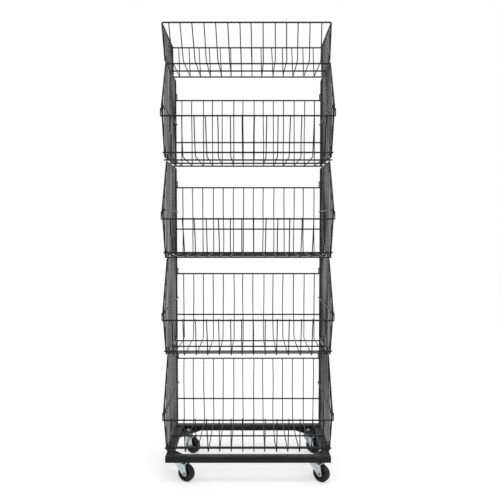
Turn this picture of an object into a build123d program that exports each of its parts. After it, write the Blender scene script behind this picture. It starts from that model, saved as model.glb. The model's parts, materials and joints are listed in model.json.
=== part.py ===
"""Rolling display rack of five black wire baskets stacked on a low tube frame with four casters.

Millimetres, +Z up, floor at z = 0. The open fronts face -Y and +X is to the right of
someone who stands in front of the rack. The origin is on the floor, under the centre of
the rack's outline. A "depth" in this file is a distance behind the frame's front face.
"""
import os
from math import cos, radians, sqrt, tan

from build123d import *

os.makedirs("parts", exist_ok=True)

# Wire stock and welding
fill_wire = 4.0  # close-set upright and floor wires
rail_wire = 6.0  # cross rails of a basket
edge_wire = 6.0  # bent outer wire of a side panel, and the top rim
weld_bite = 0.5  # how far two crossed wires are pressed into each other at a weld
seat_gap = 0.4  # room between pieces that rest on or hook round each other
bend_radius = 8.0  # centre line of the bends in a side panel's outline
wire_bend = 12.0  # the same in the wires that run along the floor

# Dolly frame
frame_width = 610.0
frame_depth = 350.0
tube_side = 25.0
tube_wall = 1.5
tube_corner = 2.5
gusset_leg = 82.0
gusset_thickness = 3.0
gusset_weld = 0.5
stem_side_inset = 52.0  # from the frame's side faces to a caster's stem
stem_end_inset = 43.0  # from the frame's front and back faces to a caster's stem

# Hopper baskets, four alike
hopper_count = 4
tier_pitch = 362.5
wire_count = 14
side_inset = 2.5  # from the frame's outer side face to the middle of a side panel
end_wire_inset = 27.225  # from the middle of a side panel to the nearest bent wire
front_rail_past = 6.5  # how far the front rails stand past the middle of a side panel
foot_rail_past = 10.5  # foremost floor rail
rail_past = 5.5  # other floor rails, and the back rails
front_lean = 22.0  # degrees from upright
front_foot_depth = 27.2  # front rails' plane where it meets the floor rails' level
front_low_height = 20.3  # heights above the middle of the floor rails
front_top_height = 142.5
back_low_height = 103.0
back_top_height = 277.0
back_wire_depth = 344.0
floor_rail_places = (8.25, 4.65, 1.25)  # in side wire pitches, counted from the post
front_wire_end = 4.0  # how far the bent wires stand past the middle of their last rail
back_wire_end = 2.0

# Side panels
bulge_height = 176.0
top_corner_depth = 74.0
side_wire_pitch = 32.0

# Keepers that hold the side panels in the tray
keeper_wire = 4.0
keeper_bend = 4.0
back_keeper_rise = 24.0
back_keeper_reach = 10.0
front_keeper_rise = 27.5
front_keeper_reach = 12.0
floor_keeper_rise = 19.0
floor_keeper_reach = 15.0

# Top basket, one welded piece
top_rim_height = 122.0  # above the middle of its floor rails
top_rim_front_depth = 25.0
top_rim_corner = 9.0
top_floor_front_depth = 85.0
top_back_depth = 316.0
top_floor_rail_shares = (0.11, 0.55, 0.94)  # of the way along the floor, from its front
top_side_inset = 0.3  # from the frame's outer side face to the middle of the rim wire

# Casters
wheel_diameter = 63.5
wheel_width = 22.0
wheel_edge_round = 3.5
tyre_thickness = 7.5
hub_width = 25.2
hub_diameter = 22.0
web_thickness = 9.0
caster_height = 80.0  # floor to the underside of the frame
caster_trail = 26.0
caster_headings = (-28.0, -39.0, -35.0, -38.0)  # degrees from +X at rest, front left first
fork_inside = 26.0
fork_sheet = 2.5
fork_crown_back = 19.0  # from the stem, away from the wheel
fork_crown_front = 29.0  # from the stem, over the wheel
fork_crown_under = 66.0
fork_bend_round = 3.0
fork_toe_radius = 9.0
race_skirt_diameter = 38.0
race_skirt_wall = 1.6
race_skirt_height = 3.6
ball_diameter = 6.0
ball_count = 12
ball_ring_diameter = 25.0
ball_sink = 0.8
ball_room = 0.1
race_plate_diameter = 34.0
race_plate_thickness = 2.5
kingpin_diameter = 8.0
kingpin_room = 0.08
rivet_diameter = 13.0
rivet_height = 2.0
stem_diameter = 10.0
stem_hole_room = 0.25
stem_hex_across = 17.0
stem_past_nut = 3.0
nut_across = 17.0
nut_height = 8.0
nut_room = 0.05
axle_diameter = 6.0
axle_room = 0.05
axle_head_diameter = 11.0
axle_head_height = 2.2
axle_nut_across = 10.0
axle_nut_height = 4.5
axle_past_nut = 1.5
sleeve_diameter = 9.6
sleeve_room = 0.06

# Heights that follow, from the casters up
crown_top = fork_crown_under + fork_sheet
ball_height = crown_top - ball_sink + ball_diameter / 2
race_under = ball_height + ball_diameter / 2 - ball_sink
race_top = race_under + race_plate_thickness
frame_under = caster_height
frame_top = frame_under + tube_side
gusset_under = frame_under + tube_corner / 2
gusset_top = gusset_under + gusset_thickness
first_floor = frame_top + seat_gap + rail_wire / 2  # middle of the lowest basket's floor rails

# Places across the rack that follow, from its middle
side_plane = frame_width / 2 - side_inset  # middle of a side panel
top_side_plane = frame_width / 2 - top_side_inset
wire_pitch = 2 * (side_plane - end_wire_inset) / (wire_count - 1)
front_rail_half = side_plane + front_rail_past
foot_rail_half = side_plane + foot_rail_past
rail_half = side_plane + rail_past

# Places in a basket that follow, from the middle of its floor rails
rest_height = (rail_wire + edge_wire) / 2 + seat_gap  # crossed rail and edge wire that rest
weld_step = (fill_wire + rail_wire) / 2 - weld_bite  # crossed fill wire and rail
lean = radians(front_lean)
front_edge_step = rest_height / cos(lean)
back_rail_depth = back_wire_depth + weld_step
post_depth = back_rail_depth - rest_height
side_foot_height = rest_height
side_top_height = tier_pitch - rest_height
floor_rail_depths = [post_depth - place * side_wire_pitch for place in floor_rail_places]
top_floor_length = top_back_depth - top_floor_front_depth
top_floor_rail_depths = [top_floor_front_depth + share * top_floor_length
                         for share in top_floor_rail_shares]


def front_rail_depth(height):
    """Depth of the front rails' leaning plane at a height above the floor rails."""
    return front_foot_depth - height * tan(lean)


def front_edge_depth(height):
    """Depth of a side panel's front edge, just behind the front rails."""
    return front_rail_depth(height) + front_edge_step


def front_wire_depth(height):
    """Depth of the bent wires in the front wall: behind its top rail, before its low rail."""
    step = weld_step / cos(lean)
    at_top = front_rail_depth(front_top_height) + step
    at_low = front_rail_depth(front_low_height) - step
    fall = (at_low - at_top) / (front_top_height - front_low_height)
    return at_top + (front_top_height - height) * fall


def bent_wire(points, diameter, radius, close=False):
    """Round wire along straight runs with a bend at each corner."""
    line = FilletPolyline(*points, radius=radius, close=close)
    section = Plane(origin=line @ 0, z_dir=line % 0) * Circle(diameter / 2)
    return sweep(section, path=line)


def straight_wire(start, end, diameter):
    """Round wire from one point to another."""
    run = Vector(*end) - Vector(*start)
    return Plane(origin=start, z_dir=run) * Cylinder(
        diameter / 2, run.length, align=(Align.CENTER, Align.CENTER, Align.MIN))


def cross_rail(depth, height, half_length):
    """Rail from side to side."""
    return straight_wire((-half_length, depth, height), (half_length, depth, height), rail_wire)


def joined(pieces):
    """Welded or moulded pieces as one."""
    return Part() + list(pieces)


def mirrored(solid):
    """The same solid on the other side of the rack's middle plane."""
    return mirror(solid, about=Plane.YZ)


def keepers():
    """Hooks on one side of a tray, right-hand side, that hold the side panel's outer wire."""
    hook_step = (edge_wire + keeper_wire) / 2 + seat_gap
    inner = side_plane - hook_step
    outer = side_plane + hook_step
    post_front = post_depth - hook_step
    back_end = back_top_height + back_keeper_rise
    back = bent_wire(
        [(inner, back_rail_depth, back_top_height),
         (inner, post_depth, back_top_height + weld_step),
         (inner, post_depth, back_end),
         (inner, post_front, back_end),
         (inner + back_keeper_reach, post_front, back_end)],
        keeper_wire, keeper_bend / 2)
    front_end = front_top_height + front_keeper_rise
    hook_depth = front_edge_depth(front_end) + hook_step / cos(lean)
    front = bent_wire(
        [(outer, front_rail_depth(front_top_height), front_top_height),
         (outer, hook_depth, front_end),
         (outer - front_keeper_reach, hook_depth, front_end)],
        keeper_wire, keeper_bend)
    hooks = [back, front]
    for depth in (floor_rail_depths[0], floor_rail_depths[-1]):
        hooks.append(bent_wire(
            [(inner, depth, 0),
             (inner, depth, floor_keeper_rise),
             (inner + floor_keeper_reach, depth, floor_keeper_rise)],
            keeper_wire, keeper_bend))
    return hooks


def tray():
    """Front, floor and back of a hopper basket: bent wires welded to seven cross rails."""
    floor = weld_step
    outline = [
        (0, front_wire_depth(front_top_height + front_wire_end), front_top_height + front_wire_end),
        (0, front_wire_depth(floor), floor),
        (0, back_wire_depth, floor),
        (0, back_wire_depth, back_top_height + back_wire_end),
    ]
    wire = bent_wire(outline, fill_wire, wire_bend)
    wires = [Pos(place * wire_pitch, 0, 0) * wire for place in wire_places()]
    rails = [cross_rail(front_rail_depth(height), height, front_rail_half)
             for height in (front_low_height, front_top_height)]
    rails.append(cross_rail(floor_rail_depths[0], 0, foot_rail_half))
    rails += [cross_rail(depth, 0, rail_half) for depth in floor_rail_depths[1:]]
    rails += [cross_rail(back_rail_depth, height, rail_half)
              for height in (back_low_height, back_top_height)]
    right = keepers()
    return joined(wires + rails + right + [mirrored(hook) for hook in right])


def wire_places():
    """Places of the bent wires across the rack, in pitches from the middle."""
    return [index - (wire_count - 1) / 2 for index in range(wire_count)]


def outline_span(corners, depth):
    """Lowest and highest height of a side panel's outline at a depth."""
    heights = []
    for (depth_a, height_a), (depth_b, height_b) in zip(corners, corners[1:] + corners[:1]):
        if min(depth_a, depth_b) <= depth < max(depth_a, depth_b):
            share = (depth - depth_a) / (depth_b - depth_a)
            heights.append(height_a + share * (height_b - height_a))
    return min(heights), max(heights)


def side_panel():
    """Right side panel of a hopper basket: bent outer wire, upright wires and an inner rail."""
    corners = [
        (front_edge_depth(side_foot_height), side_foot_height),
        (front_edge_depth(bulge_height), bulge_height),
        (top_corner_depth, side_top_height),
        (post_depth, side_top_height),
        (post_depth, side_foot_height),
    ]
    loop = bent_wire([(side_plane, depth, height) for depth, height in corners],
                     edge_wire, bend_radius, close=True)
    uprights = []
    depth = post_depth - side_wire_pitch
    while depth > corners[1][0] + side_wire_pitch / 2:
        low, high = outline_span(corners, depth)
        uprights.append(straight_wire((side_plane, depth, low), (side_plane, depth, high),
                                      fill_wire))
        depth -= side_wire_pitch
    rail_plane = side_plane - weld_step
    rail = straight_wire((rail_plane, corners[1][0], bulge_height),
                         (rail_plane, post_depth + edge_wire / 2, bulge_height), rail_wire)
    return joined([loop, rail] + uprights)


def top_basket():
    """Shallow basket on top: rim, bent wires, floor rails and side walls in one welding."""
    floor = weld_step
    rim = bent_wire(
        [(-top_side_plane, top_rim_front_depth, top_rim_height),
         (top_side_plane, top_rim_front_depth, top_rim_height),
         (top_side_plane, top_back_depth, top_rim_height),
         (-top_side_plane, top_back_depth, top_rim_height)],
        edge_wire, top_rim_corner, close=True)
    wire = bent_wire(
        [(0, top_rim_front_depth, top_rim_height), (0, top_floor_front_depth, floor),
         (0, top_back_depth, floor), (0, top_back_depth, top_rim_height)],
        fill_wire, wire_bend)
    wires = [Pos(place * wire_pitch, 0, 0) * wire for place in wire_places()]
    rails = [cross_rail(depth, 0, top_side_plane + rail_wire / 2) for depth in top_floor_rail_depths]
    foot = floor + (rail_wire - fill_wire) / 2
    corners = [(top_rim_front_depth + top_rim_corner, top_rim_height),
               (top_floor_front_depth, foot),
               (top_back_depth - top_rim_corner, foot),
               (top_back_depth - top_rim_corner, top_rim_height)]
    edge = bent_wire([(top_side_plane, depth, height) for depth, height in corners],
                     rail_wire, bend_radius)
    uprights = []
    depth = corners[-1][0] - side_wire_pitch
    while depth > corners[0][0] + side_wire_pitch / 2:
        low, high = outline_span(corners, depth)
        uprights.append(straight_wire((top_side_plane, depth, low), (top_side_plane, depth, high),
                                      fill_wire))
        depth -= side_wire_pitch
    side = [edge] + uprights
    return joined([rim] + wires + rails + side + [mirrored(piece) for piece in side])


def dolly_frame():
    """Welded ring of square tube with a flat gusset in each corner, drilled for a stem."""
    middle = (0, frame_depth / 2, frame_under + tube_side / 2)
    ring = Pos(*middle) * Box(frame_width, frame_depth, tube_side)
    ring -= Pos(*middle) * Box(frame_width - 2 * tube_side, frame_depth - 2 * tube_side, tube_side)
    ring = fillet(ring.edges().filter_by(Axis.Z, reverse=True), tube_corner)
    bore = tube_side - 2 * tube_wall
    hollow = Pos(*middle) * Box(frame_width - 2 * tube_wall, frame_depth - 2 * tube_wall, bore)
    hollow -= Pos(*middle) * Box(frame_width - 2 * (tube_side - tube_wall),
                                 frame_depth - 2 * (tube_side - tube_wall), bore)
    ring -= hollow
    gussets = []
    for side_x, side_y in corner_signs():
        corner_x = side_x * (frame_width / 2 - tube_side + gusset_weld)
        corner_y = frame_depth / 2 + side_y * (frame_depth / 2 - tube_side + gusset_weld)
        plate = Polyline((corner_x, corner_y), (corner_x - side_x * gusset_leg, corner_y),
                         (corner_x, corner_y - side_y * gusset_leg), close=True)
        solid = extrude(make_face(plate), gusset_thickness, dir=(0, 0, 1))
        stem_x, stem_y = stem_place(side_x, side_y)
        hole = Pos(stem_x, stem_y, 0) * Cylinder(stem_diameter / 2 + stem_hole_room,
                                                 4 * gusset_thickness)
        gussets.append(Pos(0, 0, gusset_under) * (solid - hole))
    return joined([ring] + gussets)


def corner_signs():
    """Front left, front right, rear left and rear right as signs along X and Y."""
    return [(-1, -1), (1, -1), (-1, 1), (1, 1)]


def stem_place(side_x, side_y):
    """Where a caster's stem stands, across the rack and as a depth."""
    return (side_x * (frame_width / 2 - stem_side_inset),
            frame_depth / 2 + side_y * (frame_depth / 2 - stem_end_inset))


def hexagon(across_flats, height, bore=0):
    """Hexagonal prism on the XY plane, with an optional bore."""
    prism = extrude(RegularPolygon(across_flats / sqrt(3), 6), height)
    if bore:
        prism -= Cylinder(bore / 2, 3 * height)
    return prism


def disc(diameter, low, high):
    """Upright cylinder between two heights."""
    return Pos(0, 0, low) * Cylinder(diameter / 2, high - low,
                                     align=(Align.CENTER, Align.CENTER, Align.MIN))


def axle_bar(diameter, half_length):
    """Cylinder along the axle, centred between the fork's legs."""
    return Pos(caster_trail, 0, wheel_diameter / 2) * Rot(90, 0, 0) * Cylinder(
        diameter / 2, 2 * half_length)


def ball_groove():
    """Ring groove in which the swivel balls run."""
    section = Plane.XZ * Pos(ball_ring_diameter / 2, ball_height) * Circle(
        ball_diameter / 2 + ball_room)
    return revolve(section, Axis.Z)


def caster_stem():
    """Kingpin, upper race plate, hexagonal collar and stem, which are one riveted piece."""
    rivet_top = fork_crown_under - seat_gap / 2
    plate = disc(race_plate_diameter, race_under, race_top) - ball_groove()
    return joined([
        disc(rivet_diameter, rivet_top - rivet_height, rivet_top),
        disc(kingpin_diameter, rivet_top - rivet_height / 2, race_top),
        plate,
        Pos(0, 0, race_top - weld_bite) * hexagon(stem_hex_across, gusset_under - race_top + weld_bite),
        disc(stem_diameter, race_top, gusset_top + nut_height + stem_past_nut),
    ])


def stem_nut():
    """Nut on top of the gusset."""
    return Pos(0, 0, gusset_top) * hexagon(nut_across, nut_height, stem_diameter + 2 * nut_room)


def swivel_balls():
    """Loose balls between the crown and the race plate."""
    balls = [Rot(0, 0, 360 / ball_count * index) * Pos(ball_ring_diameter / 2, 0, ball_height)
             * Sphere(ball_diameter / 2) for index in range(ball_count)]
    return Compound(children=balls)


def fork():
    """Pressed sheet fork: a crown with its ball track and skirt, and two tapered legs."""
    outside = fork_inside + 2 * fork_sheet
    crown = Polyline((-fork_crown_back, crown_top), (fork_crown_front, crown_top),
                     (-fork_crown_back, fork_crown_under), close=True)
    toe = Pos(caster_trail, wheel_diameter / 2) * Circle(fork_toe_radius).edge()
    profile = make_hull((crown + toe).edges())
    block = extrude(Plane.XZ * profile, outside / 2, both=True)
    block = fillet(block.edges().filter_by(Axis.X).group_by(Axis.Z)[-1], fork_bend_round)
    room = Box(4 * caster_trail + 2 * wheel_diameter, fork_inside, fork_crown_under,
               align=(Align.CENTER, Align.CENTER, Align.MIN))
    block -= room
    skirt = (disc(race_skirt_diameter, crown_top - weld_bite, crown_top + race_skirt_height)
             - disc(race_skirt_diameter - 2 * race_skirt_wall, crown_top - weld_bite,
                    crown_top + race_skirt_height))
    solid = joined([block, skirt])
    solid -= ball_groove()
    solid -= disc(kingpin_diameter + 2 * kingpin_room, fork_crown_under - fork_sheet,
                  crown_top + fork_sheet)
    return solid - axle_bar(axle_diameter + 2 * axle_room, outside)


def axle_bolt():
    """Bolt through both fork legs with its flat round head on one side."""
    outside = fork_inside / 2 + fork_sheet
    length = 2 * outside + axle_head_height + axle_nut_height + axle_past_nut
    start = -outside - axle_head_height
    shank = Pos(caster_trail, start, wheel_diameter / 2) * Rot(-90, 0, 0) * Cylinder(
        axle_diameter / 2, length, align=(Align.CENTER, Align.CENTER, Align.MIN))
    head = Pos(caster_trail, start, wheel_diameter / 2) * Rot(-90, 0, 0) * Cylinder(
        axle_head_diameter / 2, axle_head_height, align=(Align.CENTER, Align.CENTER, Align.MIN))
    head = fillet(head.edges().group_by(Axis.Y)[0], axle_head_height / 2)
    return joined([shank, head])


def axle_nut():
    """Nut on the other end of the axle bolt."""
    nut = hexagon(axle_nut_across, axle_nut_height, axle_diameter + 2 * axle_room)
    return Pos(caster_trail, fork_inside / 2 + fork_sheet, wheel_diameter / 2) * Rot(-90, 0, 0) * nut


def axle_sleeve():
    """Steel sleeve clamped between the fork legs, on which the wheel turns."""
    return axle_bar(sleeve_diameter, fork_inside / 2) - axle_bar(axle_diameter + 2 * axle_room,
                                                             fork_inside)


def wheel_core():
    """Moulded hub, web and rim of a wheel."""
    rim = wheel_diameter - 2 * tyre_thickness
    rim_wall = tyre_thickness / 2
    core = axle_bar(rim, wheel_width / 2 - wheel_edge_round / 2)
    core -= axle_bar(rim - 2 * rim_wall, wheel_width) - axle_bar(hub_diameter, 2 * wheel_width)
    core = joined([core, axle_bar(hub_diameter, hub_width / 2),
                      axle_bar(rim - rim_wall, web_thickness / 2)])
    return core - axle_bar(sleeve_diameter + 2 * sleeve_room, hub_width)


def tyre():
    """Rubber tread band bonded to the core."""
    band = axle_bar(wheel_diameter, wheel_width / 2)
    band = fillet(band.edges().filter_by(GeomType.CIRCLE), wheel_edge_round)
    return band - axle_bar(wheel_diameter - 2 * tyre_thickness, wheel_width)


def built():
    """Every node of the rack by name, with depths along +Y."""
    nodes = {"dolly_frame": dolly_frame()}
    one_tray = tray()
    right = side_panel()
    left = mirrored(right)
    for tier in range(hopper_count):
        lift = Pos(0, 0, first_floor + tier * tier_pitch)
        name = f"basket_{tier + 1}"
        nodes[f"{name}_tray"] = lift * one_tray
        nodes[f"{name}_left_side"] = lift * left
        nodes[f"{name}_right_side"] = lift * right
    nodes["top_basket"] = Pos(0, 0, first_floor + hopper_count * tier_pitch) * top_basket()
    fixed = {"stem": caster_stem(), "stem_nut": stem_nut(), "swivel_balls": swivel_balls(),
             "fork": fork(), "axle_bolt": axle_bolt(), "axle_nut": axle_nut(),
             "axle_sleeve": axle_sleeve(), "wheel_core": wheel_core(), "tyre": tyre()}
    places = ("front_left", "front_right", "rear_left", "rear_right")
    for place, (side_x, side_y), heading in zip(places, corner_signs(), caster_headings):
        stem_x, stem_y = stem_place(side_x, side_y)
        seat = Pos(stem_x, stem_y, 0) * Rot(0, 0, heading)
        for piece, solid in fixed.items():
            nodes[f"{place}_{piece}"] = seat * solid
    return nodes


nodes = built()
boxes = [shape.bounding_box() for shape in nodes.values()]
middle_depth = (min(box.min.Y for box in boxes) + max(box.max.Y for box in boxes)) / 2
for name, shape in nodes.items():
    export_step(Pos(0, -middle_depth, 0) * shape, f"parts/{name}.step")
print("middle depth", round(middle_depth, 3))
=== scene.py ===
"""Rolling display rack of five black wire baskets, stacked on a low tube frame with casters.

Metres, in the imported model's own frame: +Z up, the open fronts face -Y, and +X is to the
right of someone who stands in front. Sections follow the rack as it is put together.
"""

import json
from math import cos, pi, radians, sin, sqrt, tan
from random import Random

import bpy
import numpy as np
from mathutils import Matrix, Vector


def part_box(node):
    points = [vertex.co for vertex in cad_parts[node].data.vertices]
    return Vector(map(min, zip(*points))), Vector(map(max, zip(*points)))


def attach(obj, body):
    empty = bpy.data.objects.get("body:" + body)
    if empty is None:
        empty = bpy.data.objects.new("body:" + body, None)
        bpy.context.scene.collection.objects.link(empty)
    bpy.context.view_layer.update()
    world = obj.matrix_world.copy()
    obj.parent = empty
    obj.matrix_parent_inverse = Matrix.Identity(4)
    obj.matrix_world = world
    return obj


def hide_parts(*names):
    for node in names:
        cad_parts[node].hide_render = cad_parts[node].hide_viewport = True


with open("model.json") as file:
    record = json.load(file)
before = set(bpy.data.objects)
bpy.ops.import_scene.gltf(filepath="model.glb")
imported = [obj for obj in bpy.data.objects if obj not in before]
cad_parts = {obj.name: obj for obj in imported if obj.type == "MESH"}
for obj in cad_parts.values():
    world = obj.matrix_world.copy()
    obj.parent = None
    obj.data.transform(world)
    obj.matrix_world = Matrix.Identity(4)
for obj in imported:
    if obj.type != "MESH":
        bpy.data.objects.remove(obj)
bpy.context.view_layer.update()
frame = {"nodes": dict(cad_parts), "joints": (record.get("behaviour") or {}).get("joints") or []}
nodes = frame["nodes"]
bpy.ops.object.select_all(action="DESELECT")


# The view. The camera stands two metres in front of the base frame, a touch right of the
# middle and just above half of the rack's height, and looks slightly down.
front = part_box("dolly_frame")[0].y
camera_side = 0.0071
camera_distance = 2.0274
camera_height = 0.9576
camera_tilt = radians(2.64)
sensor_width = 36
lens = 40.48
bpy.ops.object.camera_add(location=(camera_side, front - camera_distance, camera_height),
                          rotation=(pi / 2 - camera_tilt, 0, 0))
camera = bpy.context.object
camera.data.sensor_width = sensor_width
camera.data.lens = lens
bpy.context.scene.camera = camera
bpy.context.scene.view_settings.view_transform = "Standard"


# The floor. A wide white board, lit so that it meets the white backdrop without an edge
# and keeps only a faint shadow under the casters.
floor_width = 14.0
floor_white = (0.70, 0.70, 0.70, 1)
pure_white = (1, 1, 1, 1)
floor_lift = 0.44


def put(tree, kind, inputs=(), **settings):
    """Adds a shader node, with its settings, and sets or links its inputs."""
    node = tree.nodes.new(kind)
    for name, value in settings.items():
        setattr(node, name, value)
    for name, value in dict(inputs).items():
        if isinstance(value, bpy.types.NodeSocket):
            tree.links.new(value, node.inputs[name])
        else:
            node.inputs[name].default_value = value
    return node


def new_material(name):
    """A material with nothing in it yet."""
    material = bpy.data.materials.new(name)
    material.use_nodes = True
    material.node_tree.nodes.clear()
    return material, material.node_tree


def maths(tree, operation, *values):
    """The output of a maths node."""
    return put(tree, "ShaderNodeMath", dict(enumerate(values)), operation=operation).outputs[0]


def seen_directly(tree):
    """1 for what the camera sees, also in shiny or clear things, and 0 for what only lights."""
    rays = put(tree, "ShaderNodeLightPath").outputs
    seen = maths(tree, "MAXIMUM", rays["Is Camera Ray"], rays["Is Glossy Ray"])
    return maths(tree, "MAXIMUM", seen, rays["Is Transmission Ray"])


bpy.ops.mesh.primitive_plane_add(size=floor_width, location=(0, floor_width / 4, 0))
floor = bpy.context.object
floor.name = "studio_floor"
floor_material, tree = new_material("studio_floor")
matt = put(tree, "ShaderNodeBsdfDiffuse", {"Color": floor_white})
lift = maths(tree, "MULTIPLY", seen_directly(tree), floor_lift)
glow = put(tree, "ShaderNodeEmission", {"Color": pure_white, "Strength": lift})
both = put(tree, "ShaderNodeAddShader", {0: matt.outputs[0], 1: glow.outputs[0]})
put(tree, "ShaderNodeOutputMaterial", {"Surface": both.outputs[0]})
floor.data.materials.append(floor_material)


# The light. An even studio: pale walls all round, which the camera and shiny metal see as
# white, one lamp high over the front and a weaker one further out, to the right.
wall_light = 0.80
world = bpy.data.worlds.new("studio")
world.use_nodes = True
bpy.context.scene.world = world
tree = world.node_tree
tree.nodes.clear()
strength = put(tree, "ShaderNodeMapRange", {0: seen_directly(tree), "To Min": wall_light})
walls = put(tree, "ShaderNodeBackground",
            {"Color": pure_white, "Strength": strength.outputs[0]})
put(tree, "ShaderNodeOutputWorld", {"Surface": walls.outputs[0]})


def square_lamp(name, place, aim, width, power):
    """A square lamp at its place, turned to its aim."""
    bpy.ops.object.light_add(type="AREA", location=place)
    lamp = bpy.context.object
    lamp.name = name
    lamp.data.size = width
    lamp.data.energy = power
    lamp.rotation_euler = (Vector(aim) - Vector(place)).to_track_quat("-Z", "Y").to_euler()


square_lamp("lamp_overhead", place=(0.3, front - 0.9, 3.2), aim=(0, 0, 0.7), width=1.1, power=22)
square_lamp("lamp_front", place=(1.9, front - 2.6, 2.1), aim=(0, 0, 0.8), width=0.9, power=10)


# The base frame. Square steel tube, mitred and welded into a ring, with a flat plate welded
# into each corner for a caster. It is powder coated black as one piece.
coat_black = (0.009, 0.009, 0.0095, 1)
coat_faded = (0.014, 0.014, 0.0145, 1)
# Pale grey on upward faces: partly real settled dust, partly painted light that makes top faces
# lighter.
dust_and_top_light_grey = (0.20, 0.19, 0.18, 1)
bare_steel = (0.24, 0.23, 0.22, 1)
cloudiness = 0.10
dust_dullness = 0.5
coat_shine = 0.16
same_place = 1e-6
sharp_edge = radians(35)


def shader_group(name, inputs, outputs):
    """An empty node group with named sockets, and its two end nodes."""
    group = bpy.data.node_groups.new(name, "ShaderNodeTree")
    for sockets, way in ((inputs, "INPUT"), (outputs, "OUTPUT")):
        for label, kind in sockets.items():
            group.interface.new_socket(label, in_out=way, socket_type=f"NodeSocket{kind}")
    return group, put(group, "NodeGroupInput").outputs, put(group, "NodeGroupOutput").inputs


def noise(tree, place, scale, detail):
    """Cloudy values from 0 to 1."""
    return put(tree, "ShaderNodeTexNoise", {"Vector": place, "Scale": scale,
                                            "Detail": detail}).outputs[0]


def between(tree, value, low, high):
    """0 up to the low value, 1 from the high one, and a ramp from one to the other."""
    return put(tree, "ShaderNodeMapRange", {0: value, "From Min": low,
                                            "From Max": high}).outputs[0]


def blend(tree, mask, under, over):
    """One colour over another by a mask."""
    return put(tree, "ShaderNodeMix", {0: mask, 6: under, 7: over},
               data_type="RGBA").outputs[2]


def powder_coat_group():
    """Baked powder: a fine orange-peel skin, cloudy gloss, rubbed specks, and a grey on upward
    faces that is settled dust and painted top light.
    """
    group, given, out = shader_group(
        "powder_coat", {"Coat": "Color", "Gloss": "Float", "Dust and top light": "Float", "Rubbed": "Float"},
        {"Colour": "Color", "Roughness": "Float", "Height": "Float"})
    place = put(group, "ShaderNodeTexCoord").outputs["Object"]
    peel = noise(group, place, scale=620, detail=2)
    patches = between(group, noise(group, place, scale=11, detail=4), 0.30, 0.70)
    specks = between(group, noise(group, place, scale=240, detail=1), 0.70, 0.78)
    normal = put(group, "ShaderNodeNewGeometry").outputs["Normal"]
    upward = between(group, put(group, "ShaderNodeSeparateXYZ", {0: normal}).outputs["Z"],
                     0.25, 0.95)
    # Upward faces take a patchy grey: settled dust, and painted light that makes the tops lighter.
    dust_and_top_light_mask = maths(group, "MULTIPLY", upward, patches)
    dust_and_top_light_mask = maths(group, "MULTIPLY", dust_and_top_light_mask, given["Dust and top light"])
    worn = maths(group, "MULTIPLY", specks, given["Rubbed"])
    tone = blend(group, patches, given["Coat"], coat_faded)
    dusty = blend(group, dust_and_top_light_mask, tone, dust_and_top_light_grey)
    uneven = maths(group, "MULTIPLY_ADD", patches, cloudiness, given["Gloss"])
    group.links.new(blend(group, worn, dusty, bare_steel), out["Colour"])
    group.links.new(maths(group, "MULTIPLY_ADD", dust_and_top_light_mask, dust_dullness, uneven),
                    out["Roughness"])
    group.links.new(peel, out["Height"])
    return group


powder_coat = powder_coat_group()


def coated(name, gloss, dust_and_top_light, rubbed, peel_depth):
    """Black powder coat with its own gloss, wear, depth of orange peel, and grey on upward faces
    that is dust and painted top light.
    """
    material, tree = new_material(name)
    coat = put(tree, "ShaderNodeGroup", node_tree=powder_coat)
    for label, value in {"Coat": coat_black, "Gloss": gloss, "Dust and top light": dust_and_top_light,
                         "Rubbed": rubbed}.items():
        coat.inputs[label].default_value = value
    bump = put(tree, "ShaderNodeBump", {"Height": coat.outputs["Height"], "Strength": 0.5,
                                        "Distance": peel_depth})
    shader = put(tree, "ShaderNodeBsdfPrincipled",
                 {"Base Color": coat.outputs["Colour"], "Roughness": coat.outputs["Roughness"],
                  "Normal": bump.outputs["Normal"], "Specular IOR Level": coat_shine})
    put(tree, "ShaderNodeOutputMaterial", {"Surface": shader.outputs[0]})
    return material


def dress(name, material, edge):
    """Gives a CAD node its finish, and breaks its sharp edges by a small round."""
    node = nodes[name]
    node.data.materials.clear()
    node.data.materials.append(material)
    bpy.context.view_layer.objects.active = node
    node.select_set(True)
    bpy.ops.mesh.customdata_custom_splitnormals_clear()
    bpy.ops.object.shade_smooth()
    node.select_set(False)
    node.modifiers.new("merge", "WELD").merge_threshold = same_place
    rounding = node.modifiers.new("edges", "BEVEL")
    rounding.width = edge
    rounding.segments = 2
    rounding.limit_method = "ANGLE"
    rounding.angle_limit = sharp_edge
    node.modifiers.new("flats", "WEIGHTED_NORMAL").keep_sharp = True


# The tube tops are greyed: dust, and painted light from above.
frame_coat = coated("frame_coat", gloss=0.34, dust_and_top_light=0.34, rubbed=0.08, peel_depth=0.00006)
dress("dolly_frame", frame_coat, edge=0.0003)


# Weld beads on the base frame. Each corner plate is held by two short beads a side, laid
# against the tubes, and the rippled steel shows through the coat.
tube = 0.025
plate_thickness = 0.004
ripple_radius = 0.0024
ripple_squash = (1, 0.7, 0.55)
ripple_step = 0.0017
bead_length = 0.018
bead_starts = (0.014, 0.052)
bead_rise = 0.00025


def finished(piece, name, material, body):
    """Names a piece, gives it its finish and sets it on its body, with its place in its mesh."""
    bpy.ops.object.select_all(action="DESELECT")
    piece.select_set(True)
    bpy.context.view_layer.objects.active = piece
    bpy.ops.object.transform_apply(location=True, rotation=True, scale=True)
    piece.name = name
    piece.data.name = name
    piece.data.materials.clear()
    piece.data.materials.append(material)
    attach(piece, body)
    return piece


def copied(piece, matrix=Matrix()):
    """A copy of a piece with its own mesh, set in place by a matrix."""
    copy = piece.copy()
    copy.data = piece.data.copy()
    copy.data.transform(matrix)
    bpy.context.scene.collection.objects.link(copy)
    return copy


def in_one(pieces):
    """Several pieces joined into the first."""
    bpy.ops.object.select_all(action="DESELECT")
    for piece in pieces:
        piece.select_set(True)
    bpy.context.view_layer.objects.active = pieces[0]
    bpy.ops.object.join()
    return bpy.context.object


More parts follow.
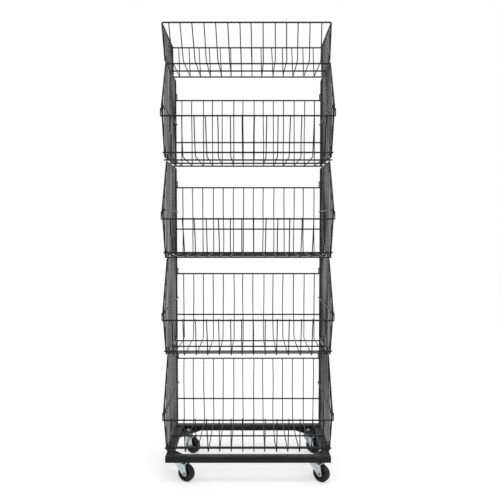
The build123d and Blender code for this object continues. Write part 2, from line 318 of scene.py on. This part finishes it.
def ripple():
    """One ripple of a bead: a low rounded scale."""
    bpy.ops.mesh.primitive_uv_sphere_add(segments=8, ring_count=5, radius=ripple_radius)
    scale = bpy.context.object
    bpy.ops.object.mode_set(mode="EDIT")
    bpy.ops.transform.resize(value=ripple_squash)
    bpy.ops.object.mode_set(mode="OBJECT")
    bpy.ops.object.shade_smooth()
    return scale


def bead(scale, start, end):
    """A bead: ripples laid over each other from one point to another."""
    run = Vector(end) - Vector(start)
    count = max(2, round(run.length / ripple_step))
    turn = run.to_track_quat("Y", "Z").to_matrix().to_4x4()
    return [copied(scale, Matrix.Translation(Vector(start) + run * step / count) @ turn)
            for step in range(count + 1)]


frame_low, frame_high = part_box("dolly_frame")
level = frame_low.z + plate_thickness + bead_rise
one_ripple = ripple()
ripples = []
for side_x in (-1, 1):
    for side_y, wall_y in ((1, frame_low.y + tube), (-1, frame_high.y - tube)):
        wall_x = side_x * (frame_high.x - tube)
        for start in bead_starts:
            end = start + bead_length
            ripples += bead(one_ripple, (wall_x, wall_y + side_y * start, level),
                            (wall_x, wall_y + side_y * end, level))
            ripples += bead(one_ripple, (wall_x - side_x * start, wall_y, level),
                            (wall_x - side_x * end, wall_y, level))
bpy.data.objects.remove(one_ripple)
finished(in_one(ripples), "corner_plate_welds", frame_coat, "frame")


# Caster metal. The forks, stems, nuts and bolts are bright zinc plate on steel, a little
# blue, with a faint crystal mottle, dull patches and fine lines left by the press.
zinc_blue = (0.53, 0.60, 0.61, 1)
stain_brown = (0.20, 0.19, 0.17, 1)
zinc_cloudiness = 0.22
zinc_dull = (0.17, 0.18, 0.18, 1)
places = ("front_left", "front_right", "rear_left", "rear_right")
turning = {joint["name"]: joint for joint in frame["joints"]}


def zinc_group():
    """Zinc plate: crystal mottle, cloudy dullness and drawn lines."""
    group, given, out = shader_group(
        "zinc_plate", {"Tint": "Color", "Polish": "Float", "Dirt": "Float"},
        {"Colour": "Color", "Roughness": "Float", "Height": "Float"})
    place = put(group, "ShaderNodeTexCoord").outputs["Object"]
    crystal = put(group, "ShaderNodeTexVoronoi", {"Vector": place, "Scale": 420})
    mottle = put(group, "ShaderNodeMapRange",
                 {0: crystal.outputs["Distance"], "From Max": 0.9, "To Min": 0.90, "To Max": 1.04})
    tinted = put(group, "ShaderNodeVectorMath", {0: given["Tint"], "Scale": mottle.outputs[0]},
                 operation="SCALE").outputs[0]
    drawn = put(group, "ShaderNodeMapping", {"Vector": place, "Scale": (900, 900, 60)})
    lines = noise(group, drawn.outputs[0], scale=1, detail=2)
    cloud = noise(group, place, scale=70, detail=4)
    stain = maths(group, "MULTIPLY", between(group, cloud, 0.52, 0.78), given["Dirt"])
    group.links.new(blend(group, stain, tinted, stain_brown), out["Colour"])
    group.links.new(maths(group, "MULTIPLY_ADD", cloud, zinc_cloudiness, given["Polish"]),
                    out["Roughness"])
    group.links.new(lines, out["Height"])
    return group


zinc_plate = zinc_group()


def plated(name, tint, polish, dirt):
    """Zinc-plated steel with its own tint, dullness and dirt."""
    material, tree = new_material(name)
    zinc = put(tree, "ShaderNodeGroup", node_tree=zinc_plate)
    for label, value in {"Tint": tint, "Polish": polish, "Dirt": dirt}.items():
        zinc.inputs[label].default_value = value
    bump = put(tree, "ShaderNodeBump", {"Height": zinc.outputs["Height"], "Strength": 0.3,
                                        "Distance": 0.00005})
    shader = put(tree, "ShaderNodeBsdfPrincipled",
                 {"Base Color": zinc.outputs["Colour"], "Roughness": zinc.outputs["Roughness"],
                  "Normal": bump.outputs["Normal"], "Metallic": 0.9})
    put(tree, "ShaderNodeOutputMaterial", {"Surface": shader.outputs[0]})
    return material


sheet_zinc = plated("sheet_zinc", zinc_blue, polish=0.26, dirt=0.25)
turned_zinc = plated("turned_zinc", zinc_blue, polish=0.16, dirt=0.35)
bolt_zinc = plated("bolt_zinc", zinc_dull, polish=0.30, dirt=0.70)
for place in places:
    dress(f"{place}_fork", sheet_zinc, edge=0.0003)
    dress(f"{place}_stem", turned_zinc, edge=0.00025)
    dress(f"{place}_axle_bolt", bolt_zinc, edge=0.0002)
    dress(f"{place}_axle_sleeve", turned_zinc, edge=0.0002)
    dress(f"{place}_swivel_balls", turned_zinc, edge=0.0001)


# Caster nuts. A hexagon whose corners are turned off at both faces, with its bore, screwed
# onto the stem above the corner plate and onto the axle bolt beside the fork.
corner_angle = radians(60)
nut_edge_share = 0.02
stem_nut_turn = pi / 5
stem_radius = 0.0047
stem_pitch = 0.0015
ridge_share = 0.4
axle_nut_seat = 0.0155


def hex_nut(across, height, bore):
    """A nut with its lower face at the origin and its bore along Z."""
    corner = across / sqrt(3)
    middle = (0, 0, height / 2)
    bpy.ops.mesh.primitive_cylinder_add(vertices=6, radius=corner, depth=height, location=middle)
    nut = bpy.context.object
    bpy.ops.mesh.primitive_cylinder_add(vertices=48, radius=corner, depth=height, location=middle)
    blank = bpy.context.object
    chamfer = blank.modifiers.new("chamfer", "BEVEL")
    chamfer.width = corner - across / 2
    chamfer.segments = 1
    chamfer.angle_limit = corner_angle
    bpy.ops.object.modifier_apply(modifier="chamfer")
    bpy.ops.mesh.primitive_cylinder_add(vertices=32, radius=bore / 2, depth=2 * height,
                                        location=middle)
    drill = bpy.context.object
    for other, way in ((blank, "INTERSECT"), (drill, "DIFFERENCE")):
        cut = nut.modifiers.new("cut", "BOOLEAN")
        cut.object, cut.operation = other, way
        bpy.context.view_layer.objects.active = nut
        bpy.ops.object.modifier_apply(modifier="cut")
        bpy.data.objects.remove(other)
    bpy.ops.object.select_all(action="DESELECT")
    nut.select_set(True)
    bpy.ops.object.transform_apply(location=True, rotation=True, scale=True)
    rounding = nut.modifiers.new("edges", "BEVEL")
    rounding.width = nut_edge_share * across
    rounding.segments = 2
    rounding.angle_limit = radians(25)
    bpy.ops.object.modifier_apply(modifier="edges")
    bpy.ops.object.shade_smooth_by_angle(angle=radians(30))
    return nut


def thread_ridge(radius, pitch, turns):
    """The ridge of a screw thread, wound up from the origin."""
    bpy.ops.mesh.primitive_circle_add(vertices=3, radius=ridge_share * pitch,
                                      location=(radius, 0, 0), rotation=(pi / 2, 0, 0))
    ridge = bpy.context.object
    bpy.ops.object.transform_apply(location=True, rotation=True, scale=True)
    winding = ridge.modifiers.new("winding", "SCREW")
    winding.angle = 2 * pi
    winding.iterations = turns
    winding.screw_offset = pitch
    winding.steps = winding.render_steps = 24
    bpy.ops.object.modifier_apply(modifier="winding")
    bpy.ops.object.mode_set(mode="EDIT")
    bpy.ops.mesh.select_all(action="SELECT")
    bpy.ops.mesh.fill_holes(sides=3)
    bpy.ops.mesh.normals_make_consistent(inside=False)
    bpy.ops.object.mode_set(mode="OBJECT")
    bpy.ops.object.shade_smooth_by_angle(angle=radians(30))
    return ridge


def on_axis(joint, along=0):
    """A matrix that lays Z on a joint's axis, so far along it from the joint's place."""
    axis = Vector(joint["axis"])
    return Matrix.Translation(Vector(joint["pos_m"]) + axis * along) @ (
        axis.to_track_quat("Z", "Y").to_matrix().to_4x4())


stem_nut = hex_nut(across=0.017, height=0.008, bore=0.0102)
axle_nut = hex_nut(across=0.010, height=0.0045, bore=0.0062)
stem_thread = thread_ridge(stem_radius, stem_pitch, turns=1)
for place in places:
    stem_x, stem_y, _ = turning[f"{place}_swivel_turn"]["pos_m"]
    nut_low, nut_high = (corner.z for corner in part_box(f"{place}_stem_nut"))
    seat = Matrix.Translation((stem_x, stem_y, nut_low)) @ Matrix.Rotation(stem_nut_turn, 4, "Z")
    nut = finished(copied(stem_nut, seat), f"{place}_stem_hexagon", turned_zinc, "frame")
    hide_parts(f"{place}_stem_nut")
    seat = Matrix.Translation((stem_x, stem_y, nut_high + stem_pitch / 2))
    finished(copied(stem_thread, seat), f"{place}_stem_thread", turned_zinc, "frame")
    seat = on_axis(turning[f"{place}_wheel_spin"], axle_nut_seat)
    nut = finished(copied(axle_nut, seat), f"{place}_axle_hexagon", turned_zinc,
                   f"{place}_swivel")
    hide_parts(f"{place}_axle_nut")
for template in (stem_nut, axle_nut, stem_thread):
    bpy.data.objects.remove(template)


# Wheels. A black rubber tyre with two fine grooves round its tread is bonded to a moulded
# core, which has a raised hub, a thin web and a rim. The rubber is scuffed where it rolls.
tyre_black = (0.009, 0.009, 0.0095, 1)
core_black = (0.010, 0.010, 0.0105, 1)
scuff_grey = (0.055, 0.054, 0.052, 1)
scuff_dullness = 0.4
moulded_shine = 0.22


def moulded_group():
    """Moulded rubber and plastic: fine grain, cloudy sheen and grey scuffs."""
    group, given, out = shader_group(
        "moulded_black", {"Base": "Color", "Sheen": "Float", "Scuffs": "Float"},
        {"Colour": "Color", "Roughness": "Float", "Height": "Float"})
    place = put(group, "ShaderNodeTexCoord").outputs["Object"]
    scuff = between(group, noise(group, place, scale=90, detail=5), 0.50, 0.72)
    scuff = maths(group, "MULTIPLY", scuff, given["Scuffs"])
    group.links.new(blend(group, scuff, given["Base"], scuff_grey), out["Colour"])
    group.links.new(maths(group, "MULTIPLY_ADD", scuff, scuff_dullness, given["Sheen"]),
                    out["Roughness"])
    group.links.new(noise(group, place, scale=1500, detail=2), out["Height"])
    return group


moulded_black = moulded_group()


def moulded(name, base, sheen, scuffs, grain_depth):
    """Moulded rubber or plastic with its own colour, sheen and scuffs."""
    material, tree = new_material(name)
    mould = put(tree, "ShaderNodeGroup", node_tree=moulded_black)
    for label, value in {"Base": base, "Sheen": sheen, "Scuffs": scuffs}.items():
        mould.inputs[label].default_value = value
    bump = put(tree, "ShaderNodeBump", {"Height": mould.outputs["Height"], "Strength": 0.5,
                                        "Distance": grain_depth})
    shader = put(tree, "ShaderNodeBsdfPrincipled",
                 {"Base Color": mould.outputs["Colour"], "Roughness": mould.outputs["Roughness"],
                  "Normal": bump.outputs["Normal"], "Specular IOR Level": moulded_shine})
    put(tree, "ShaderNodeOutputMaterial", {"Surface": shader.outputs[0]})
    return material


def turned(profile, sides, flat_angle=radians(38)):
    """A closed ring turned about Z: profile points are radius and place along the axis."""
    radius, along = profile[0]
    bpy.ops.mesh.primitive_circle_add(vertices=sides, radius=radius, location=(0, 0, along))
    ring = bpy.context.object
    bpy.ops.object.mode_set(mode="EDIT")
    bpy.ops.mesh.select_all(action="SELECT")
    for next_radius, next_along in profile[1:] + profile[:1]:
        bpy.ops.mesh.extrude_region_move(
            TRANSFORM_OT_translate={"value": (0, 0, next_along - along)})
        bpy.ops.transform.resize(value=(next_radius / radius,) * 3)
        radius, along = next_radius, next_along
    bpy.ops.mesh.select_all(action="SELECT")
    bpy.ops.mesh.remove_doubles(threshold=same_place)
    bpy.ops.mesh.normals_make_consistent(inside=False)
    bpy.ops.object.mode_set(mode="OBJECT")
    bpy.ops.object.transform_apply(location=True, rotation=True, scale=True)
    bpy.ops.object.shade_smooth_by_angle(angle=flat_angle)
    return ring


def both_sides(half):
    """A profile from one half: its points' radius and their distance from the wheel's middle."""
    return [(radius, -off) for radius, off in half] + [(radius, off)
                                                       for radius, off in reversed(half)]


tyre_outside = 0.03175
tyre_inside = 0.02425
tyre_half_width = 0.011
tyre_heel = [(tyre_inside, 0.0090), (tyre_inside + 0.0004, 0.0102),
             (tyre_inside + 0.0012, 0.0107), (tyre_inside + 0.0024, tyre_half_width)]
shoulder = 0.0035
tyre_shoulder = [(tyre_outside - shoulder + shoulder * sin(radians(turn)),
                  tyre_half_width - shoulder + shoulder * cos(radians(turn)))
                 for turn in (0, 22, 45, 68, 90)]
groove_floor = tyre_outside - 0.00045
tyre_groove = [(tyre_outside, 0.0042), (groove_floor, 0.0039), (groove_floor, 0.0033),
               (tyre_outside, 0.0030)]
core_hub = [(0.00486, 0.0126), (0.0104, 0.0126), (0.0110, 0.0120), (0.0112, 0.0062)]
core_web = [(0.0122, 0.0047), (0.0140, 0.0045), (0.0186, 0.0045), (0.0200, 0.0050)]
core_rim = [(0.0206, 0.0064), (0.0209, 0.0088), (0.0216, 0.00925), (0.0238, 0.00925),
            (tyre_inside, 0.0088)]
tyre_rubber = moulded("tyre_rubber", tyre_black, sheen=0.42, scuffs=0.30, grain_depth=0.00004)
core_plastic = moulded("core_plastic", core_black, sheen=0.34, scuffs=0.12, grain_depth=0.00003)
tyre = turned(both_sides(tyre_heel + tyre_shoulder + tyre_groove), sides=72)
core = turned(both_sides(core_hub + core_web + core_rim), sides=64)
for place in places:
    seat = on_axis(turning[f"{place}_wheel_spin"])
    for template, part, material in ((tyre, "tyre", tyre_rubber),
                                     (core, "wheel_core", core_plastic)):
        piece = finished(copied(template, seat), f"{place}_{part}_turned", material,
                         f"{place}_wheel")
        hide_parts(f"{place}_{part}")
for template in (tyre, core):
    bpy.data.objects.remove(template)


# Basket wire. Drawn steel wire, bent and resistance-welded where it crosses, then powder
# coated in one go. Its ends are cropped, and a bead of squeezed-out steel sits at each weld.
fill_radius = 0.0020
rail_radius = 0.0030
bend_radius = 0.008
wire_sides = 10
wire_step = 0.03
bend_step = radians(20)
crop_share = 0.3
wire_flat_angle = radians(42)
closing_gap = 1e-5
weld_gap = 0.0045
weld_seat = 0.0018
weld_bead_radius = 0.0019
weld_bead_squash = (1.0, 0.92, 0.92)
# The wires' tops are greyed: dust, and painted light from above.
wire_coat = coated("wire_coat", gloss=0.32, dust_and_top_light=0.22, rubbed=0.12, peel_depth=0.00005)


def drawn_wire(points, radius, bend=bend_radius):
    """A wire through points: a ring extruded along each run and spun round each bend. Its
    ends are chamfered, unless its last point is its first."""
    points = [Vector(point) for point in points]
    closed = points[0] == points[-1]
    crop = crop_share * radius
    way = (points[1] - points[0]).normalized()
    bpy.ops.mesh.primitive_circle_add(
        vertices=wire_sides, radius=radius if closed else radius - crop, location=points[0],
        rotation=way.to_track_quat("Z", "Y").to_euler())
    wire = bpy.context.object
    bpy.ops.object.mode_set(mode="EDIT")
    bpy.ops.mesh.select_all(action="SELECT")
    at = points[0]
    if not closed:
        at = at + way * crop
        bpy.ops.mesh.extrude_region_move(TRANSFORM_OT_translate={"value": way * crop})
        bpy.ops.transform.resize(value=(radius / (radius - crop),) * 3)
    for before, corner, after in zip(points, points[1:], points[2:] + [None]):
        way = (corner - before).normalized()
        if after is None:
            room = 0 if closed else crop
        else:
            turn = way.angle(after - corner)
            room = bend * tan(turn / 2)
        run = corner - way * room - at
        count = max(1, round(run.length / wire_step))
        for _ in range(count):
            bpy.ops.mesh.extrude_region_move(TRANSFORM_OT_translate={"value": run / count})
        at = at + run
        if after is not None:
            axis = way.cross(after - corner).normalized()
            bpy.ops.mesh.spin(steps=max(2, round(turn / bend_step)), angle=-turn,
                              center=at + axis.cross(way) * bend, axis=axis)
            at = corner + (after - corner).normalized() * room
    if closed:
        bpy.ops.mesh.select_all(action="SELECT")
        bpy.ops.mesh.remove_doubles(threshold=closing_gap)
    else:
        bpy.ops.mesh.extrude_region_move(TRANSFORM_OT_translate={"value": way * crop})
        bpy.ops.transform.resize(value=(1 - crop / radius,) * 3)
        bpy.ops.mesh.select_all(action="SELECT")
        bpy.ops.mesh.fill_holes(sides=wire_sides)
    bpy.ops.mesh.normals_make_consistent(inside=False)
    bpy.ops.object.mode_set(mode="OBJECT")
    bpy.ops.object.transform_apply(location=True, rotation=True, scale=True)
    bpy.ops.object.shade_smooth_by_angle(angle=wire_flat_angle)
    return wire


def weld_beads(places, radius=weld_bead_radius):
    """A small bead of steel at each weld."""
    bpy.ops.mesh.primitive_uv_sphere_add(segments=8, ring_count=4, radius=radius)
    one = bpy.context.object
    bpy.ops.object.mode_set(mode="EDIT")
    bpy.ops.mesh.select_all(action="SELECT")
    bpy.ops.transform.resize(value=weld_bead_squash)
    bpy.ops.object.mode_set(mode="OBJECT")
    bpy.ops.object.shade_smooth()
    beads = [copied(one, Matrix.Translation(place)) for place in places]
    bpy.data.objects.remove(one)
    return beads


# Basket trays. Fourteen wires run down the leaning front, along the floor and up the low
# back. Two rails at the front, three under the floor and two behind tie them, and eight
# bent hooks catch the side panels. No two wires lie quite alike.
wire_pitch = 0.04235
wire_count = 14
wire_bend = 0.012
front_top = (-0.02682, 0.1465)
front_foot = 0.01927
back_depth = 0.344
back_top = 0.279
low_front_rail = (0.0190, 0.0203)
top_front_rail = (-0.03037, 0.1425)
front_rail_half = 0.309
floor_rail_depths = (0.0781, 0.1933, 0.3021)
floor_rail_halves = (0.313, 0.308, 0.308)
back_rails = ((0.3485, 0.103), (0.3485, 0.277))
back_rail_half = 0.308
wire_welds = ((-0.0278, 0.1433), (0.0164, 0.0195), (back_depth + weld_seat, 0.103),
              (back_depth + weld_seat, 0.277))
floor_weld_height = 0.0027
place_slip = 0.0014
depth_slant = 0.006
height_slant = 0.007
tray_bow = 0.0036
back_hook = ((0.3485, 0.277), (0.3421, 0.2815), (0.3421, 0.301), (0.3367, 0.301))
back_hook_tip = 0.3071
front_hook = (top_front_rail, (-0.02876, 0.170))
front_hook_foot, front_hook_tip = 0.3079, 0.2959
hook_foot = 0.2971
floor_hook_height = 0.019
floor_hook_tip = 0.3121
back_hook_weld = (0.3462, 0.2800)
front_hook_weld = (-0.0302, 0.1461)
wave_size = (0.05, 0.16, 0.16)
wave_shift = Vector((0.7, 3.1, 1.7))


def slanted(shift, by_depth, by_height):
    """A matrix that moves a wire sideways, more and more with its depth and height."""
    matrix = Matrix.Translation((shift, 0, 0))
    matrix[0][1], matrix[0][2] = by_depth, by_height
    return matrix


def bowed(piece, way, strength, seed):
    """Bends wires a little to and fro along X or Y, as handling does."""
    waves = bpy.data.textures.new(f"bow_{seed}", "CLOUDS")
    waves.noise_scale = 1.0
    waves.noise_depth = 0
    bpy.ops.object.empty_add(location=wave_shift * seed)
    wave_place = bpy.context.object
    wave_place.scale = wave_size
    bow = piece.modifiers.new("bow", "DISPLACE")
    bow.texture = waves
    bow.texture_coords = "OBJECT"
    bow.texture_coords_object = wave_place
    bow.direction = way
    bow.strength = strength
    bpy.context.view_layer.objects.active = piece
    bpy.ops.object.modifier_apply(modifier="bow")
    bpy.data.objects.remove(wave_place)
    return piece


def placed_wires(welded, count, slips, by_depths, by_heights, chance):
    """Copies of a welded wire side by side, each out of place and out of true in its own way."""
    wires = []
    for index in range(count):
        across = (index - (count - 1) / 2) * wire_pitch + chance.uniform(*slips)
        wires.append(copied(welded, slanted(across, chance.uniform(*by_depths),
                                            chance.uniform(*by_heights))))
    bpy.data.objects.remove(welded)
    return in_one(wires)


def cross_rail(half, depth, height=0):
    """A straight rail that reaches half its length to each side of the rack's middle."""
    return drawn_wire([(-half, depth, height), (half, depth, height)], rail_radius)


def hook(foot, path, tip, bend):
    """A hook wire: along its path at the foot's place across, then turned to the tip's."""
    bends = [(foot, depth, height) for depth, height in path]
    return drawn_wire(bends + [(tip, *path[-1])], fill_radius, bend)


def basket_tray(seed):
    """A hopper basket without its side panels, with the origin on its floor rails' middle."""
    chance = Random(seed)
    places = [(0, depth, height) for depth, height in wire_welds]
    places += [(0, depth, floor_weld_height) for depth in floor_rail_depths]
    bent = drawn_wire([(0, *front_top), (0, front_foot, weld_gap), (0, back_depth, weld_gap),
                       (0, back_depth, back_top)], fill_radius, wire_bend)
    wires = placed_wires(in_one([bent] + weld_beads(places)), wire_count,
                         (-place_slip, place_slip), (-depth_slant, depth_slant),
                         (-height_slant, height_slant), chance)
    tray = [bowed(wires, "X", tray_bow, seed)]
    tray += [cross_rail(front_rail_half, *rail) for rail in (low_front_rail, top_front_rail)]
    tray += [cross_rail(half, depth) for half, depth in zip(floor_rail_halves, floor_rail_depths)]
    tray += [cross_rail(back_rail_half, *rail) for rail in back_rails]
    for side in (-1, 1):
        tray.append(hook(side * hook_foot, back_hook, side * back_hook_tip, bend=0.0024))
        tray.append(hook(side * front_hook_foot, front_hook, side * front_hook_tip, bend=0.004))
        for depth in (floor_rail_depths[0], floor_rail_depths[-1]):
            path = ((depth, 0), (depth, floor_hook_height))
            tray.append(hook(side * hook_foot, path, side * floor_hook_tip, bend=0.004))
        tray += weld_beads([(side * hook_foot, *back_hook_weld),
                            (side * front_hook_foot, *front_hook_weld)])
    return in_one(tray)


levels = [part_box(f"basket_{tier}_tray")[0].z + rail_radius for tier in (1, 2, 3, 4)]
for tier, level in enumerate(levels, 1):
    tray = basket_tray(seed=tier)
    tray.location = (0, front, level)
    tray = finished(tray, f"basket_{tier}_wirework", wire_coat, f"basket_{tier}")
    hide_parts(f"basket_{tier}_tray")


# Side panels. A heavier wire is bent to a closed outline that bulges forward, and eleven
# uprights and one rail on the inner side are welded to it. The tray's hooks hold it.
edge_radius = 0.0030
panel_plane = 0.3025
post_depth = 0.3421
panel_low = 0.0064
panel_high = 0.3561
bulge_depth, bulge_height = -0.03701, 0.176
foot_depth = 0.03152
shoulder_depth = 0.074
seam_height = 0.18
panel_rail_end = 0.3451
upright_pitch = 0.032
panel_uprights = 11
upright_slip = 0.001
upright_weld_gap = 0.0023
upright_bead_radius = 0.0021
panel_bow = 0.0030
panel_sway = 0.0016
sway_seed = 100


def side_panel(side, seed):
    """A side panel in its basket's place, on the right for 1 and on the left for -1."""
    chance = Random(seed)
    plane, rail_plane = side * panel_plane, side * (panel_plane - weld_gap)
    outline = [(post_depth, seam_height), (post_depth, panel_high), (shoulder_depth, panel_high),
               (bulge_depth, bulge_height), (foot_depth, panel_low), (post_depth, panel_low),
               (post_depth, seam_height)]
    frame_wire = drawn_wire([(plane, depth, height) for depth, height in outline], edge_radius)
    uprights, places = [], []
    for index in range(1, panel_uprights + 1):
        depth = post_depth - index * upright_pitch
        low = np.interp(depth, (bulge_depth, foot_depth), (bulge_height, panel_low))
        high = np.interp(depth, (bulge_depth, shoulder_depth), (bulge_height, panel_high))
        foot = depth + chance.uniform(-upright_slip, upright_slip)
        head = depth + chance.uniform(-upright_slip, upright_slip)
        uprights.append(drawn_wire([(plane, foot, low), (plane, head, high)], fill_radius))
        at_rail = foot + (head - foot) * (bulge_height - low) / (high - low)
        places += [(plane, foot, low + upright_weld_gap), (plane, head, high - upright_weld_gap),
                   (plane - side * weld_seat, at_rail, bulge_height)]
    grid = bowed(in_one(uprights + weld_beads(places, upright_bead_radius)), "Y", panel_bow, seed)
    grid = bowed(grid, "X", panel_sway, seed + sway_seed)
    rail = drawn_wire([(rail_plane, bulge_depth, bulge_height),
                       (rail_plane, panel_rail_end, bulge_height)], rail_radius)
    return in_one([grid, frame_wire, rail])


for tier, level in enumerate(levels, 1):
    for side, word in ((-1, "left"), (1, "right")):
        panel = side_panel(side, seed=10 * tier + side)
        panel.location = (0, front, level)
        panel = finished(panel, f"basket_{tier}_{word}_panel", wire_coat, f"basket_{tier}")
        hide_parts(f"basket_{tier}_{word}_side")


# Top basket. One welding: a rim bent round all four sides, fourteen bent wires, three floor
# rails, and side walls of upright wires on a bent edge wire.
rim_height = 0.122
rim_plane = 0.3047
rim_front, rim_back = 0.025, 0.316
rim_bend = 0.009
side_front, side_back = 0.034, 0.307
side_uprights = 8
floor_front = 0.085
side_foot = 0.0055
top_rail_depths = (0.1104, 0.2121, 0.3021)
rim_welds = ((rim_front + 0.0015, rim_height - 0.0022), (rim_back, rim_height - 0.0025))
top_slips = (-0.0037, -0.0013)
top_depth_slants = (-0.005, 0.005)
top_height_slants = (-0.022, -0.010)
top_bow = 0.0030
top_shift = -0.0027
top_lean = -0.020
top_seed = 7


def top_basket(seed):
    """The top basket, with the origin on its floor rails' middle."""
    chance = Random(seed)
    loop = [(0, rim_front), (rim_plane, rim_front), (rim_plane, rim_back), (-rim_plane, rim_back),
            (-rim_plane, rim_front), (0, rim_front)]
    pieces = [drawn_wire([(across, depth, rim_height) for across, depth in loop], edge_radius,
                         rim_bend)]
    bent = drawn_wire([(0, rim_front, rim_height), (0, floor_front, weld_gap),
                       (0, rim_back, weld_gap), (0, rim_back, rim_height)], fill_radius,
                      wire_bend)
    places = [(0, depth, height) for depth, height in rim_welds]
    places += [(0, depth, floor_weld_height) for depth in top_rail_depths]
    wires = placed_wires(in_one([bent] + weld_beads(places)), wire_count, top_slips,
                         top_depth_slants, top_height_slants, chance)
    pieces.append(bowed(wires, "X", top_bow, seed))
    pieces += [cross_rail(rim_plane + rail_radius, depth) for depth in top_rail_depths]
    for side in (-1, 1):
        plane = side * rim_plane
        pieces.append(drawn_wire([(plane, side_front, rim_height), (plane, floor_front, side_foot),
                                  (plane, side_back, side_foot), (plane, side_back, rim_height)],
                                 rail_radius))
        for index in range(1, side_uprights + 1):
            depth = side_back - index * upright_pitch
            foot = depth + chance.uniform(-upright_slip, upright_slip)
            low = np.interp(depth, (side_front, floor_front), (rim_height, side_foot))
            pieces.append(drawn_wire([(plane, foot, low), (plane, depth, rim_height)],
                                     fill_radius))
    basket = in_one(pieces)
    basket.data.transform(slanted(top_shift, 0, top_lean))
    return basket


top = top_basket(top_seed)
top.location = (0, front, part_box("top_basket")[0].z + rail_radius)
top = finished(top, "top_basket_wirework", wire_coat, "top_basket")
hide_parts("top_basket")
